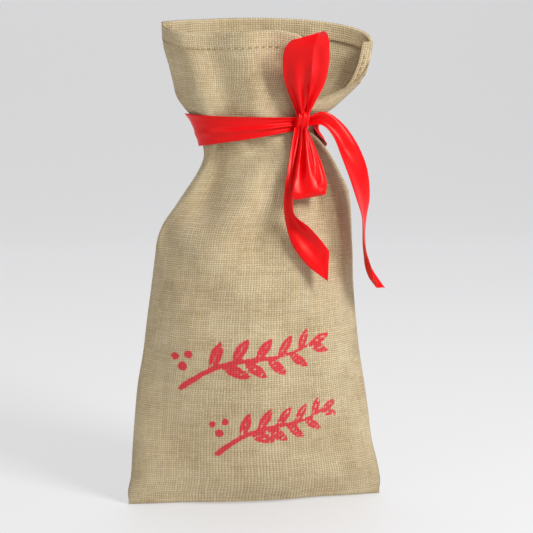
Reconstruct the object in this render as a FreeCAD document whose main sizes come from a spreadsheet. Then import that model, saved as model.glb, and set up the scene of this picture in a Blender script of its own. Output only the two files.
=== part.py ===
"""Gift bag for a wine bottle: a hessian pouch, tied at the neck with a satin ribbon bow.

Two cloth panels are sewn together down both sides and along the bottom, with their allowances inside.
The mouth is hemmed, and its front edge dips in a notch beside the bow. The ribbon goes once round the
neck and is tied in a knot with two loops and two tails.

Frame: millimetres, +Z up, the front of the bag faces -Y, and the origin is in the middle of the base,
on the bottom seam. The cloth above the ribbon is the collar. It bends back about the ribbon's top edge,
and the loops and tails swing from the knot.
"""

import FreeCAD, Part
import os
import Sketcher

doc = FreeCAD.newDocument("gift_bag")

# ---------------------------------------------------------------------------------------------
# Driving dimensions, in millimetres. Widths run along X and depths along Y.
# ---------------------------------------------------------------------------------------------
SIZES = {
    # cloth
    "cloth": 1.2,              # thickness of the hessian
    "allowance": 8,            # seam allowance inside the bag
    "seam_gap": 0.3,           # clearance between a seam allowance and the panels beside it
    "hem_depth": 13,           # cloth turned down inside the mouth
    "hem_end": 8,              # degrees of the mouth left clear for the seam allowance
    "thread": 0.6,             # sewing thread
    # heights
    "neck_height": 278,        # floor to the middle of the ribbon
    "rim_rise": 83,            # neck to the top of the mouth
    "collar_rise": 50,         # neck to the widest part of the collar
    "flare_rise": 22,          # neck to where the collar opens out
    "throat_drop": 24,         # neck down to the throat
    "shoulder_drop": 78,       # neck down to the shoulder
    # sections: width, depth and how far the middle stands to the right
    "base_width": 190, "base_depth": 48, "base_shift": 0,
    "hip_width": 178, "hip_depth": 70, "hip_shift": -2,
    "belly_width": 158, "belly_depth": 84, "belly_shift": -3,
    "shoulder_width": 146, "shoulder_depth": 84, "shoulder_shift": 0,
    "throat_width": 97, "throat_depth": 58, "throat_shift": 9,
    "neck_width": 85, "neck_depth": 48, "neck_shift": 0.5,
    "flare_width": 121, "flare_depth": 52, "flare_shift": 4,
    "collar_width": 150, "collar_depth": 59, "collar_shift": 10,
    "rim_width": 157, "rim_depth": 64, "rim_shift": 9.5,
    # the mouth's edge, as drops below the top of the mouth
    "left_drop": 7, "right_drop": 20, "front_drop": 15,
    "notch_drop": 55,          # the bottom of the notch beside the bow
    "notch_width": 22,         # from the bow's middle to the notch's left shoulder
    "notch_floor": 14,         # flat width of the notch's bottom
    # ribbon
    "ribbon_width": 21, "ribbon": 0.5,
    "band_end_width": 8,       # the ribbon where it is gathered into the knot
    "fold_rise": 3,            # the cloth's bend, above the ribbon's top edge
    "band_tilt": 6,            # how far the ribbon climbs from the back to the knot
    "knot_across": 34.5,       # bow's middle, to the right of the bag's middle
    "knot_front": 20.5,        # bow's middle, in front of the bag's middle
    "knot_length": 11, "knot_size": 13,
    "bow_gap": 0.5,            # clearance between the bow's pieces and what they swing past
    "upper_loop_length": 63, "upper_loop_depth": 12, "upper_loop_width": 31, "upper_loop_lean": 30,
    "lower_loop_length": 51, "lower_loop_depth": 11, "lower_loop_width": 22, "lower_loop_lean": 25,
    "loop_root": 8,            # width of a loop where it leaves the knot
    "front_tail_length": 108, "front_tail_width": 15, "front_tail_lean": 12,
    "side_tail_reach": 52, "side_tail_front": 1, "side_tail_drop": 121, "side_tail_width": 15, "side_tail_end": 40,
    # working room for the shapes that only cut
    "room": 400,
}

sheet = doc.addObject("Spreadsheet::Sheet", "sizes")
for row, (alias, value) in enumerate(SIZES.items(), start=1):
    sheet.set(f"A{row}", alias)
    sheet.set(f"B{row}", str(value))
    sheet.setAlias(f"B{row}", alias)
doc.recompute()

# Heights that several pieces share, as expressions in the sheet's names.
NECK = "sizes.neck_height"
SPLIT = "(sizes.neck_height + sizes.ribbon_width / 2 + sizes.fold_rise)"
RIM = "(sizes.neck_height + sizes.rim_rise)"
KNOT = "(sizes.neck_height + sizes.band_tilt)"
SHOULDER = "(sizes.neck_height - sizes.shoulder_drop)"

# The bag's sections from the floor up: name in the sheet, and height. The last one is past the mouth.
NAMED_SECTIONS = [
    ("base", "0"),
    ("hip", f"{SHOULDER} / 3"),
    ("belly", f"{SHOULDER} * 2 / 3"),
    ("shoulder", SHOULDER),
    ("throat", f"({NECK} - sizes.throat_drop)"),
    ("neck", NECK),
    ("flare", f"({NECK} + sizes.flare_rise)"),
    ("collar", f"({NECK} + sizes.collar_rise)"),
    ("rim", f"({RIM} + sizes.hem_depth)"),
]
# Two sections between each pair, at thirds of the way. Each is a weighted sum of the four named
# sections round it, in 27ths, so that the curve passes smoothly through every named section.
BLENDS = ((1, (-2, 21, 9, -1)), (2, (-1, 9, 21, -2)))


def all_sections():
    """Every section as a dictionary of expressions: height, width, depth and shift."""
    last = len(NAMED_SECTIONS) - 1
    sections = []
    for index, (name, height) in enumerate(NAMED_SECTIONS):
        exact = {key: f"sizes.{name}_{key}" for key in ("width", "depth", "shift")}
        sections.append({"name": name, "height": height, **exact})
        if index == last:
            break
        around = [NAMED_SECTIONS[min(max(index + step, 0), last)][0] for step in (-1, 0, 1, 2)]
        for third, weights in BLENDS:
            blend = {
                key: "((" + " + ".join(f"({w}) * sizes.{near}_{key}" for w, near in zip(weights, around))
                + ") / 27)"
                for key in ("width", "depth", "shift")
            }
            above = NAMED_SECTIONS[index + 1][1]
            rise = f"({height} + ({above} - {height}) * {third} / 3)"
            sections.append({"name": f"{name}_{third}", "height": rise, **blend})
    return sections


SECTIONS = all_sections()
FROM_NECK = SECTIONS[15:]          # for what lies above the ribbon
ROUND_NECK = SECTIONS[12:19]       # from the throat to the flare

FRONT_PLANE = FreeCAD.Rotation(FreeCAD.Vector(1, 0, 0), 90)      # sketch up is +Z, its normal is -Y
SIDE_PLANE = FreeCAD.Rotation(FreeCAD.Vector(1, 1, 1), 120)      # sketch across is +Y, its normal is +X


def number(expression):
    """The expression's value in millimetres."""
    return float(sheet.evalExpression(expression))


def bind(item, **expressions):
    """Binds properties of item to expressions; a double underscore in a name stands for a dot."""
    for name, expression in expressions.items():
        item.setExpression(name.replace("__", "."), expression)
    return item


# ---------------------------------------------------------------------------------------------
# Building blocks
# ---------------------------------------------------------------------------------------------
def ellipse(name, section, inset, start="0 deg", end="360 deg"):
    """One section of the bag drawn in by inset, or the arc of it from start to end."""
    ring = doc.addObject("Part::Ellipse", name)
    ring.MajorRadius, ring.MinorRadius = 900, 1
    return bind(
        ring,
        MinorRadius=f"{section['depth']} / 2 - ({inset})",
        MajorRadius=f"{section['width']} / 2 - ({inset})",
        Angle1=start,
        Angle2=end,
        Placement__Base__x=section["shift"],
        Placement__Base__z=section["height"],
    )


def loft(name, profiles):
    made = doc.addObject("Part::Loft", name)
    made.Sections, made.Solid, made.Ruled = profiles, True, True
    return made


def wall(name, side, inset, thickness, sections, short="0"):
    """Half of the bag's shape, front or back, as a layer of the given thickness that starts inset in
    from the outside. It stops short (in degrees) of the side seams."""
    start, end = ("180", "360") if side == "front" else ("0", "180")
    bands = []
    for section in sections:
        arcs = [
            ellipse(f"{name}_{section['name']}_{edge}", section, depth,
                    f"({start} + {short}) * 1 deg", f"({end} - {short}) * 1 deg")
            for edge, depth in (("outside", inset), ("inside", f"{inset} + {thickness}"))
        ]
        band = doc.addObject("Part::RuledSurface", f"{name}_{section['name']}")
        band.Curve1, band.Curve2 = (arcs[0], ["Edge1"]), (arcs[1], ["Edge1"])
        bands.append(band)
    return loft(name, bands)


def strip(name, side, inset, y, length, width):
    """An upright strip that follows a side seam up the bag: inset in from the outside, length across."""
    planes = []
    for section in SECTIONS:
        edge = f"({section['width']} / 2 - ({inset}))"
        left = f"-{edge}" if side == "left" else f"{edge} - ({length})"
        plane = doc.addObject("Part::Plane", f"{name}_{section['name']}")
        bottom = "sizes.cloth + sizes.seam_gap" if section["name"] == "base" else section["height"]
        bind(plane, Length=length, Width=width, Placement__Base__x=f"{section['shift']} + {left}",
             Placement__Base__y=y, Placement__Base__z=bottom)
        planes.append(plane)
    return loft(name, planes)


def block(name, x, y, z, length, width, height):
    """A box from its lowest corner, with every size an expression."""
    box = doc.addObject("Part::Box", name)
    return bind(box, Length=length, Width=width, Height=height,
                Placement__Base__x=x, Placement__Base__y=y, Placement__Base__z=z)


def cut(name, base, tool):
    made = doc.addObject("Part::Cut", name)
    made.Base, made.Tool = base, tool
    return made


def common(name, *shapes):
    made = doc.addObject("Part::MultiCommon", name)
    made.Shapes = list(shapes)
    return made


def fuse(name, *shapes):
    made = doc.addObject("Part::MultiFuse", name)
    made.Shapes = list(shapes)
    return made


def outline(name, rotation, corners):
    """A closed sketch of straight edges, fully constrained. Each corner is (across, up) in expressions."""
    sketch = doc.addObject("Sketcher::SketchObject", name)
    sketch.Placement.Rotation = rotation
    points = [FreeCAD.Vector(number(across), number(up), 0) for across, up in corners]
    count = len(points)
    for index in range(count):
        sketch.addGeometry(Part.LineSegment(points[index], points[(index + 1) % count]))
    for index in range(count):
        sketch.addConstraint(Sketcher.Constraint("Coincident", index, 2, (index + 1) % count, 1))
    for index, (across, up) in enumerate(corners):
        for kind, letter, size, expression in (
            ("DistanceX", "across", points[index].x, across),
            ("DistanceY", "up", points[index].y, up),
        ):
            at = sketch.addConstraint(Sketcher.Constraint(kind, -1, 1, index, 1, size))
            sketch.renameConstraint(at, f"{letter}{index}")
            sketch.setExpression(f"Constraints.{letter}{index}", expression)
    return sketch


def prism(name, sketch, ahead, behind="0"):
    """The sketch extruded along its normal by ahead and the other way by behind."""
    made = doc.addObject("Part::Extrusion", name)
    made.Base, made.DirMode, made.Solid = sketch, "Normal", True
    return bind(made, LengthFwd=ahead, LengthRev=behind)


def node(name, shape):
    """Marks shape as the finished sub-part called name."""
    shape.Label = name
    NODES[name] = shape
    return shape


NODES = {}

# ---------------------------------------------------------------------------------------------
# Cutting shapes
# ---------------------------------------------------------------------------------------------
front_half = block("front_half", "-sizes.room", "-sizes.room", "-sizes.room",
                   "2 * sizes.room", "sizes.room", "3 * sizes.room")
back_half = block("back_half", "-sizes.room", "0", "-sizes.room",
                  "2 * sizes.room", "sizes.room", "3 * sizes.room")
HALVES = {"front": front_half, "back": back_half}
below_split = block("below_split", "-sizes.room", "-sizes.room", "-sizes.room",
                    "2 * sizes.room", "2 * sizes.room", f"sizes.room + {SPLIT}")
above_split = block("above_split", "-sizes.room", "-sizes.room", f"{SPLIT} + sizes.bow_gap",
                    "2 * sizes.room", "2 * sizes.room", "sizes.room")

LEFT_CORNER = "(sizes.rim_shift - sizes.rim_width / 2)"
RIGHT_CORNER = "(sizes.rim_shift + sizes.rim_width / 2)"


def mouth_edge(name, drop, front):
    """What lies above the mouth's edge, moved down by drop. The front edge has the notch in it."""
    left = f"({RIM} - sizes.left_drop - {drop})"
    right = f"({RIM} - sizes.right_drop - {drop})"
    corners = [(f"{LEFT_CORNER} - sizes.room / 2", left), (LEFT_CORNER, left)]
    if front:
        notch = f"max({RIM} - sizes.notch_drop - {drop}; {SPLIT} + sizes.bow_gap + sizes.cloth)"
        corners += [
            ("sizes.knot_across - sizes.notch_width", f"{RIM} - sizes.front_drop - {drop}"),
            ("sizes.knot_across", notch),
            ("sizes.knot_across + sizes.notch_floor", notch),
        ]
    else:
        corners += [("sizes.rim_shift - sizes.rim_width / 8", f"{RIM} - {drop}"),
                    ("sizes.rim_shift + sizes.rim_width / 5", f"{RIM} - {drop}")]
    corners += [(RIGHT_CORNER, right), (f"{RIGHT_CORNER} + sizes.room / 2", right),
                (f"{RIGHT_CORNER} + sizes.room / 2", f"{RIM} + sizes.room"),
                (f"{LEFT_CORNER} - sizes.room / 2", f"{RIM} + sizes.room")]
    sketch = outline(f"{name}_outline", FRONT_PLANE, corners)
    return prism(name, sketch, "sizes.room", "0") if front else prism(name, sketch, "0", "sizes.room")


ABOVE = {side: mouth_edge(f"above_{side}_edge", "0", side == "front") for side in HALVES}

# ---------------------------------------------------------------------------------------------
# Panels, hems and hem threads. The cloth is in two at the ribbon's top edge, where it bends.
# ---------------------------------------------------------------------------------------------
floor_rim = ellipse("floor_rim", SECTIONS[0], "sizes.cloth / 2")
floor_whole = doc.addObject("Part::Extrusion", "floor_whole")
floor_whole.Base, floor_whole.DirMode, floor_whole.Solid = floor_rim, "Custom", True
floor_whole.Dir = FreeCAD.Vector(0, 0, 1)
bind(floor_whole, LengthFwd="sizes.cloth")

for side, half in HALVES.items():
    cloth = wall(f"{side}_cloth", side, "0", "sizes.cloth", SECTIONS)
    lower = common(f"{side}_lower", cloth, below_split)
    floor = common(f"{side}_floor", floor_whole, half)
    node(f"{side}_panel", fuse(f"{side}_panel", lower, floor))
    upper = common(f"{side}_upper", cloth, above_split)
    node(f"collar_{side}", cut(f"collar_{side}", upper, ABOVE[side]))

    turned = wall(f"{side}_turned", side, "sizes.cloth", "sizes.cloth", FROM_NECK, "sizes.hem_end")
    above_hem = mouth_edge(f"above_{side}_hem", "sizes.hem_depth", side == "front")
    folded = common(f"{side}_folded", turned, above_split, above_hem)
    node(f"{side}_hem", cut(f"{side}_hem", folded, ABOVE[side]))

    sewn = wall(f"{side}_sewn", side, "-sizes.thread", "sizes.thread", FROM_NECK)
    over = mouth_edge(f"{side}_thread_over", "(sizes.hem_depth - 3 * sizes.thread)", side == "front")
    under = mouth_edge(f"{side}_thread_under", "(sizes.hem_depth - 2 * sizes.thread)", side == "front")
    line = common(f"{side}_line", sewn, above_split, under)
    node(f"{side}_hem_thread", cut(f"{side}_hem_thread", line, over))

# ---------------------------------------------------------------------------------------------
# Seam allowances: two layers of cloth standing inside the bag, with the seam's thread on both faces
# ---------------------------------------------------------------------------------------------
node("bottom_seam_allowance", block(
    "bottom_seam_allowance",
    "-(sizes.base_width / 2 - sizes.cloth - sizes.allowance - 4 * sizes.seam_gap)",
    "-sizes.cloth", "sizes.cloth",
    "sizes.base_width - 2 * (sizes.cloth + sizes.allowance + 4 * sizes.seam_gap)",
    "2 * sizes.cloth", "sizes.allowance"))
SEAM_LINE = "sizes.cloth + sizes.allowance * 0.6"
for side in ("left", "right"):
    fold = strip(f"{side}_fold", side, "sizes.cloth + sizes.seam_gap", "-sizes.cloth",
                 "sizes.allowance", "2 * sizes.cloth")
    front_thread = strip(f"{side}_front_stitch", side, SEAM_LINE, "-sizes.cloth - sizes.thread",
                         "sizes.thread", "sizes.thread")
    back_thread = strip(f"{side}_back_stitch", side, SEAM_LINE, "sizes.cloth",
                        "sizes.thread", "sizes.thread")
    threads = fuse(f"{side}_stitches", front_thread, back_thread)
    for piece, whole in (("seam_allowance", fold), ("seam_thread", threads)):
        node(f"{side}_{piece}", common(f"{side}_{piece}", whole, below_split))
        upper = common(f"{side}_{piece}_upper", whole, above_split)
        opened = cut(f"{side}_{piece}_opened", upper, ABOVE["front"])
        node(f"collar_{side}_{piece}", cut(f"collar_{side}_{piece}", opened, ABOVE["back"]))

# ---------------------------------------------------------------------------------------------
# Ribbon round the neck. On the front it narrows from its full width into the knot.
# ---------------------------------------------------------------------------------------------
HALF_RIBBON = "sizes.ribbon_width / 2"
NECK_LEFT = "(sizes.neck_shift - sizes.neck_width / 2)"
NECK_RIGHT = "(sizes.neck_shift + sizes.neck_width / 2)"
band_face = prism("band_face", outline("band_face_outline", FRONT_PLANE, [
    (f"{NECK_LEFT} - sizes.ribbon_width", f"{NECK} - {HALF_RIBBON}"),
    (f"{NECK_LEFT} + sizes.neck_width / 6", f"{NECK} - {HALF_RIBBON}"),
    ("sizes.knot_across - sizes.knot_length / 2", f"{KNOT} - sizes.band_end_width / 2"),
    ("sizes.knot_across + sizes.knot_length / 2", f"{KNOT} - sizes.band_end_width / 2"),
    (f"{NECK_RIGHT} + sizes.ribbon_width", f"{NECK} - {HALF_RIBBON}"),
    (f"{NECK_RIGHT} + sizes.ribbon_width", f"{NECK} + {HALF_RIBBON}"),
    ("sizes.knot_across + sizes.knot_length / 2", f"{KNOT} + sizes.band_end_width / 2"),
    ("sizes.knot_across - sizes.knot_length / 2", f"{KNOT} + sizes.band_end_width / 2"),
    (f"{NECK_LEFT} + sizes.neck_width / 6", f"{NECK} + {HALF_RIBBON}"),
    (f"{NECK_LEFT} - sizes.ribbon_width", f"{NECK} + {HALF_RIBBON}"),
]), "sizes.room")
band_back_zone = block("band_back_zone", "-sizes.room", "0", f"{NECK} - {HALF_RIBBON}",
                       "2 * sizes.room", "sizes.room", "sizes.ribbon_width")
ribbon_walls = {side: wall(f"ribbon_{side}", side, "-sizes.ribbon", "sizes.ribbon", ROUND_NECK)
                for side in HALVES}
band_front = common("band_front", ribbon_walls["front"], band_face)
band_back = common("band_back", ribbon_walls["back"], band_back_zone)

# The knot is a rolled wrap of ribbon lying across the bow, which the loops and tails swing about.
knot_wrap = doc.addObject("Part::Cylinder", "knot_wrap")
knot_wrap.Placement.Rotation = FreeCAD.Rotation(FreeCAD.Vector(0, 1, 0), 90)
bind(knot_wrap, Radius="sizes.knot_size / 2", Height="sizes.knot_length",
     Placement__Base__x="sizes.knot_across - sizes.knot_length / 2",
     Placement__Base__y="-sizes.knot_front", Placement__Base__z=KNOT)
node("neck_band", fuse("neck_band", band_front, band_back))
knot_seat = wall("knot_seat", "front", "-sizes.ribbon", "sizes.knot_size", ROUND_NECK)
node("knot", cut("knot", knot_wrap, knot_seat))


# ---------------------------------------------------------------------------------------------
# Loops: an oval ring of ribbon seen from the side, widening from its root as seen from the front
# ---------------------------------------------------------------------------------------------
ROOT = "(sizes.knot_size / 2 + sizes.bow_gap)"


def loop(name, up, root_left, root_right, wide_left, wide_right):
    """A loop that stands up from the knot (up is 1) or hangs from it (up is -1), leaning forward."""
    ovals = []
    for part, less in (("outside", "0"), ("inside", "sizes.ribbon")):
        oval = doc.addObject("Part::Ellipse", f"{name}_{part}")
        oval.MajorRadius, oval.MinorRadius = 900, 1
        bind(oval, MajorRadius=f"sizes.{name}_length / 2 - {less}",
             MinorRadius=f"sizes.{name}_depth / 2 - {less}")
        lean = FreeCAD.Rotation(FreeCAD.Vector(1, 0, 0), up * number(f"sizes.{name}_lean"))
        oval.Placement.Rotation = lean * SIDE_PLANE * FreeCAD.Rotation(FreeCAD.Vector(0, 0, 1), 90)
        centre = f"({ROOT} + sizes.{name}_length / 2)"
        bind(oval,
             Placement__Base__y=f"-sizes.knot_front - {centre} * sin(sizes.{name}_lean * 1 deg)",
             Placement__Base__z=f"{KNOT} + ({up}) * {centre} * cos(sizes.{name}_lean * 1 deg)")
        tube = doc.addObject("Part::Extrusion", f"{name}_{part}_tube")
        tube.Base, tube.DirMode, tube.Solid = oval, "Custom", True
        tube.Dir = FreeCAD.Vector(1, 0, 0)
        bind(tube, LengthFwd="sizes.room / 2")
        ovals.append(tube)
    ring = cut(f"{name}_ring", *ovals)
    reach = f"({ROOT} + sizes.{name}_length)"
    face = prism(f"{name}_face", outline(f"{name}_face_outline", FRONT_PLANE, [
        (f"{root_left}", KNOT),
        (f"{root_right}", KNOT),
        (f"{wide_right}", f"{KNOT} + ({up}) * {reach} * 0.6"),
        (f"{wide_right}", f"{KNOT} + ({up}) * {reach} * 1.1"),
        (f"{wide_left}", f"{KNOT} + ({up}) * {reach} * 1.1"),
        (f"{wide_left}", f"{KNOT} + ({up}) * {reach} * 0.6"),
    ]), "sizes.room", "sizes.room")
    return node(name, common(name, ring, face))


loop("upper_loop", 1,
     "sizes.knot_across - sizes.loop_root / 2", "sizes.knot_across + sizes.loop_root / 2",
     "sizes.knot_across - sizes.upper_loop_width / 2", "sizes.knot_across + sizes.upper_loop_width / 2")
loop("lower_loop", -1,
     "sizes.knot_across - sizes.loop_root / 4", "sizes.knot_across + sizes.loop_root / 2",
     "sizes.knot_across - sizes.lower_loop_width / 4", "sizes.knot_across + sizes.lower_loop_width * 3 / 4")

# ---------------------------------------------------------------------------------------------
# Tails
# ---------------------------------------------------------------------------------------------
TAIL_OUT = "(sizes.front_tail_length * tan(sizes.front_tail_lean * 1 deg))"
PAST_LOOP = f"({KNOT} - {ROOT} - sizes.lower_loop_length - 2 * sizes.bow_gap - sizes.ribbon)"
front_tail_side = prism("front_tail_side", outline("front_tail_side_outline", SIDE_PLANE, [
    (f"-sizes.knot_front - 1 * sizes.ribbon", f"{KNOT} - {ROOT}"),
    (f"-sizes.knot_front", f"{KNOT} - {ROOT}"),
    (f"-sizes.knot_front - {TAIL_OUT}", PAST_LOOP),
    (f"-sizes.knot_front - {TAIL_OUT}", f"{KNOT} - {ROOT} - sizes.front_tail_length"),
    (f"-sizes.knot_front - {TAIL_OUT} - sizes.ribbon", f"{KNOT} - {ROOT} - sizes.front_tail_length"),
    (f"-sizes.knot_front - {TAIL_OUT} - sizes.ribbon", PAST_LOOP),
]), "sizes.room")
TAIL_LEFT = "(sizes.knot_across - sizes.lower_loop_width / 4 - sizes.bow_gap)"
front_tail_face = prism("front_tail_face", outline("front_tail_face_outline", FRONT_PLANE, [
    ("sizes.knot_across - sizes.knot_length / 2", f"{KNOT}"),
    ("sizes.knot_across - sizes.loop_root / 4 - sizes.bow_gap", f"{KNOT}"),
    (TAIL_LEFT, f"{KNOT} - {ROOT} - sizes.lower_loop_length * 0.6"),
    (TAIL_LEFT, PAST_LOOP),
    (f"{TAIL_LEFT} + sizes.front_tail_width * 1.3", f"{KNOT} - {ROOT} - sizes.front_tail_length * 0.82"),
    (f"{TAIL_LEFT} + sizes.front_tail_width * 1.4", f"{KNOT} - {ROOT} - sizes.front_tail_length"),
    (f"{TAIL_LEFT} - sizes.front_tail_width * 0.1", f"{KNOT} - {ROOT} - sizes.front_tail_length * 0.75"),
    (f"{TAIL_LEFT} - sizes.front_tail_width * 0.5", PAST_LOOP),
    (f"{TAIL_LEFT} - sizes.front_tail_width * 0.4", f"{KNOT} - {ROOT} - sizes.lower_loop_length * 0.6"),
]), "sizes.room", "sizes.room")
node("front_tail", common("front_tail", front_tail_side, front_tail_face))

# The side tail arches out of the knot's right end and hangs beside the bag.
SIDE_ROOT = "(sizes.knot_across + sizes.knot_length / 2 + sizes.knot_size / 4)"
SIDE_OUT = "(sizes.knot_across + sizes.side_tail_reach)"
side_tail_outline = outline("side_tail_outline", FRONT_PLANE, [
    (SIDE_ROOT, f"{KNOT} + sizes.band_end_width / 2"),
    (f"{SIDE_ROOT} + sizes.side_tail_width * 0.8", f"{KNOT} + sizes.band_end_width / 4"),
    (f"{SIDE_OUT} - sizes.side_tail_width * 0.7", f"{KNOT} - sizes.side_tail_width"),
    (f"{SIDE_OUT} - sizes.side_tail_width * 0.25", f"{KNOT} - sizes.side_tail_end"),
    (f"{SIDE_OUT} - sizes.side_tail_width * 0.35", f"{KNOT} - sizes.side_tail_drop * 0.7"),
    (f"{SIDE_OUT} + sizes.side_tail_width * 0.5", f"{KNOT} - sizes.side_tail_drop"),
    (f"{SIDE_OUT} + sizes.side_tail_width * 0.05", f"{KNOT} - sizes.side_tail_drop * 1.01"),
    (f"{SIDE_OUT} - sizes.side_tail_width * 0.75", f"{KNOT} - sizes.side_tail_drop * 0.7"),
    (f"{SIDE_OUT} - sizes.side_tail_width * 1.25", f"{KNOT} - sizes.side_tail_end"),
    (f"{SIDE_ROOT} + sizes.side_tail_width * 0.7", f"{KNOT} - sizes.side_tail_width * 0.5"),
    (SIDE_ROOT, f"{KNOT} - sizes.band_end_width / 4"),
])
bind(side_tail_outline, Placement__Base__y="-sizes.knot_front - sizes.side_tail_front")
node("side_tail", prism("side_tail", side_tail_outline, "sizes.ribbon / 2", "sizes.ribbon / 2"))

# ---------------------------------------------------------------------------------------------
# Check every object and write the sub-parts
# ---------------------------------------------------------------------------------------------
doc.recompute()
faults = [item.Name for item in doc.Objects if {"Invalid", "Error"} & set(item.State)]
if faults:
    raise RuntimeError(f"these objects failed: {faults}")
for name, item in NODES.items():
    if item.Shape.isNull() or not item.Shape.isValid() or not item.Shape.Solids:
        raise RuntimeError(f"{name} has no valid solid")

os.makedirs("parts", exist_ok=True)
for name, item in NODES.items():
    item.Shape.exportStep(f"parts/{name}.step")
    print(f"{name}: {len(item.Shape.Solids)} solids, {item.Shape.Volume:.1f} mm3")
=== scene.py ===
import math

import bpy
import numpy as np
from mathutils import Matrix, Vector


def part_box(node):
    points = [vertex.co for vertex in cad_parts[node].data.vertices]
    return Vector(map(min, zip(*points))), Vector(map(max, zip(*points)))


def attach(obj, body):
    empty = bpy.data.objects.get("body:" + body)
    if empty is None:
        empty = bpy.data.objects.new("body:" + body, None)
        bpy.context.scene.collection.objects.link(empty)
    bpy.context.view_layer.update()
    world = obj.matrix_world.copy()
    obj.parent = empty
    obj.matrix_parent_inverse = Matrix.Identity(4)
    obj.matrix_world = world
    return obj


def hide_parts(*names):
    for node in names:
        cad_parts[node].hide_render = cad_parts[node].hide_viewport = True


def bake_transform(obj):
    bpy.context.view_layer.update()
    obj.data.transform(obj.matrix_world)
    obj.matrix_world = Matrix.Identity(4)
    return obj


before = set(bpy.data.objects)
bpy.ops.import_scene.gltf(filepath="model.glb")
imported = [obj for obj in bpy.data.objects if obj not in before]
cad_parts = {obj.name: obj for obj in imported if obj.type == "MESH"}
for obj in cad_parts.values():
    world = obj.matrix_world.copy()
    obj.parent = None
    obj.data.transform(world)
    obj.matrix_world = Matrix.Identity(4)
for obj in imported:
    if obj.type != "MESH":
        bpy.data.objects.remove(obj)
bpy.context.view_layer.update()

# A hessian bottle bag with a satin bow. Lengths below are in millimetres and turn to metres when a mesh
# is made. X is to the right of the bag, -Y in front of it and Z up.
MM = 1000.0


def node_box(name):
    """The lowest and highest corners of a CAD node, in millimetres."""
    return np.array(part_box(name)) * MM


BAND_LOW, BAND_HIGH = node_box("neck_band")
COLLAR_LOW = node_box("collar_back")[0]
KNOT_LOW, KNOT_HIGH = node_box("knot")
NECK_Z = (BAND_LOW[2] + BAND_HIGH[2]) / 2          # middle of the ribbon
FOLD_Z = COLLAR_LOW[2]                             # where the cloth bends above the ribbon
BOW_SHIFT = np.array([-4.5, -1.8, 0.0])            # how far the bow is drawn from its CAD place
KNOT = (KNOT_LOW + KNOT_HIGH) / 2 + BOW_SHIFT

# The cut cloth, and the ribbon off the roll.
PANEL_WIDTH, PANEL_LENGTH = 200.0, 372.0
CLOTH = 1.0
HEM = 13.0                  # depth of the hem turned down inside the mouth
HEM_INSIDE = 2.3            # from the outside of the cloth to the outside of the hem behind it
ALLOWANCE = 8.0
SEAM_HALF_GAP = 0.2         # from the middle to the cloth, where the two panels meet
TURN_HEIGHT = 4.0           # top of the turn from the floor to the upright cloth
TURN_CLOTH = 9.0            # length of cloth in that turn
RIBBON_WIDTH, RIBBON = 21.0, 0.35


# ---------------------------------------------------------------------------------------------
# Numbers on curves
# ---------------------------------------------------------------------------------------------
def through(at, keys, values):
    """A smooth curve through the keys: cubic pieces whose slope at a key is the mean of its neighbours'
    slopes, so the curve neither kinks nor runs off between them. values may be rows of several numbers."""
    at, keys, values = np.asarray(at, float), np.asarray(keys, float), np.asarray(values, float)
    flat = values.ndim == 1
    rows = values[:, None] if flat else values
    steps = np.diff(keys)[:, None]
    rises = np.diff(rows, axis=0) / steps
    slopes = np.vstack([rises[:1], (rises[:-1] + rises[1:]) / 2, rises[-1:]])
    place = np.clip(np.searchsorted(keys, at) - 1, 0, len(keys) - 2)
    step = steps[place]
    part = ((np.clip(at, keys[0], keys[-1]) - keys[place])[..., None]) / step
    a, b = rows[place], rows[place + 1]
    out = (a * (1 + 2 * part) * (1 - part) ** 2 + b * part ** 2 * (3 - 2 * part)
           + step * slopes[place] * part * (1 - part) ** 2
           - step * slopes[place + 1] * part ** 2 * (1 - part))
    return out[..., 0] if flat else out


def ease(low, high, at):
    """0 below low, 1 above high, and a smooth step between them."""
    part = np.clip((at - low) / (high - low), 0, 1)
    return part * part * (3 - 2 * part)


# ---------------------------------------------------------------------------------------------
# Meshes
# ---------------------------------------------------------------------------------------------
def grid_faces(rows, columns, start=0, ring=False, turned=False):
    """Quads between neighbouring points of a rows x columns grid. ring joins the last row to the first."""
    across = np.arange(columns - 1)
    up = np.arange(rows if ring else rows - 1)
    here = (up[:, None] * columns + across[None, :]).ravel()
    above = (((up[:, None] + 1) % rows) * columns + across[None, :]).ravel()
    quads = np.stack([here, here + 1, above + 1, above], axis=1) + start
    return quads[:, ::-1] if turned else quads


def make_mesh(name, points, quads, uvs=None, slots=None, materials=(), values=None):
    """A smooth-shaded object from points in millimetres, quads, a UV for every point, a material index for
    every quad and float attributes for every point."""
    mesh = bpy.data.meshes.new(name)
    mesh.from_pydata((points / MM).tolist(), [], quads.tolist())
    if uvs is not None:
        layer = mesh.uv_layers.new(name="cloth")
        layer.data.foreach_set("uv", (uvs[quads.ravel()] / MM).astype(np.float32).ravel())
    for key, value in (values or {}).items():
        mesh.attributes.new(key, "FLOAT", "POINT").data.foreach_set("value", value.astype(np.float32))
    for material in materials:
        mesh.materials.append(material)
    if slots is not None:
        mesh.polygons.foreach_set("material_index", slots.astype(np.int32))
    mesh.polygons.foreach_set("use_smooth", np.ones(len(quads), bool))
    mesh.update()
    made = bpy.data.objects.new(name, mesh)
    bpy.context.collection.objects.link(made)
    return made


def grid_normals(points):
    """Unit normals of a grid of points: the cross product of the differences along columns and rows."""
    across = np.gradient(points, axis=1)
    up = np.gradient(points, axis=0)
    normal = np.cross(across, up)
    return normal / np.maximum(np.linalg.norm(normal, axis=2, keepdims=True), 1e-9)


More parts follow.
